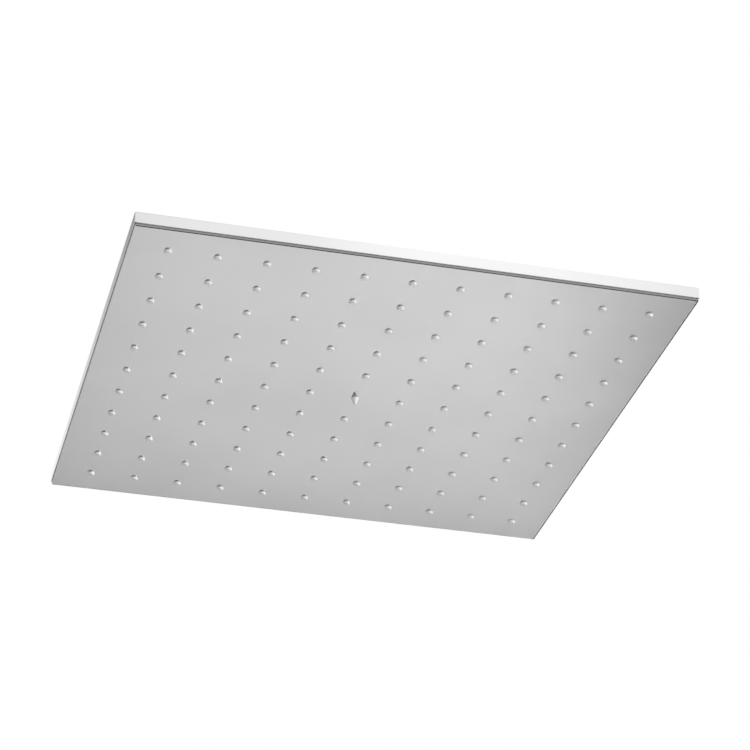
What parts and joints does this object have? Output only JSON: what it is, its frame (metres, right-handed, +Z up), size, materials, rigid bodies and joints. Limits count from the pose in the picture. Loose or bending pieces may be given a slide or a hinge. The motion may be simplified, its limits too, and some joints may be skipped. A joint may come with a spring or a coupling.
{
  "type": "rain shower head",
  "caption": "Slim square rain shower head with a polished steel spray plate, a grid of silicone nozzles and a ball joint inlet on its back.",
  "frame": {"origin": "middle of the inlet's mouth, where the head screws on to its arm", "axes": "+Z up along the inlet, out of its mouth; X and Y along the sides of the square head, -Y towards the viewer of the picture"},
  "size_m": [0.3, 0.3, 0.0603],
  "materials": {
    "polished_steel": "mirror polished",
    "nozzle_silicone": "smooth, slightly glossy",
    "tray_plastic": "moulded, fine grain",
    "fastener_steel": "bright plated",
    "chromed_brass": "bright chromed",
    "black_rubber": "smooth",
    "liner_plastic": "smooth",
    "regulator_plastic": "moulded",
    "screen_steel": "woven wire"
  },
  "bodies": {
    "inlet": {"swivel_ball": "chromed_brass", "flow_regulator": "regulator_plastic", "regulator_seal": "black_rubber", "filter_washer": "black_rubber", "filter_screen": "screen_steel"},
    "slip_ring_link": {"slip_ring": "liner_plastic"},
    "ball_seal_link": {"ball_seal": "black_rubber"},
    "head": {"casing": "polished_steel", "face_plate": "polished_steel", "nozzle_mat": "nozzle_silicone", "chamber_tray": "tray_plastic", "plate_studs": "fastener_steel", "stud_washers": "fastener_steel", "stud_nuts": "fastener_steel", "centre_screw": "chromed_brass", "ball_socket": "chromed_brass", "socket_gasket": "black_rubber", "lock_washer": "fastener_steel", "lock_nut": "fastener_steel", "collar_nut": "chromed_brass"}
  },
  "joints": [
    {"name": "swivel", "type": "hinge", "parent": "inlet", "child": "slip_ring_link", "pos_m": [0, 0, -0.03374], "axis": [0, 0, 1], "continuous": true},
    {"name": "tilt_front_back", "type": "hinge", "parent": "slip_ring_link", "child": "ball_seal_link", "pos_m": [0, 0, -0.03374], "axis": [1, 0, 0], "range_deg": [-12, 12]},
    {"name": "tilt_left_right", "type": "hinge", "parent": "ball_seal_link", "child": "head", "pos_m": [0, 0, -0.03374], "axis": [0, 1, 0], "range_deg": [-12, 12]}
  ]
}
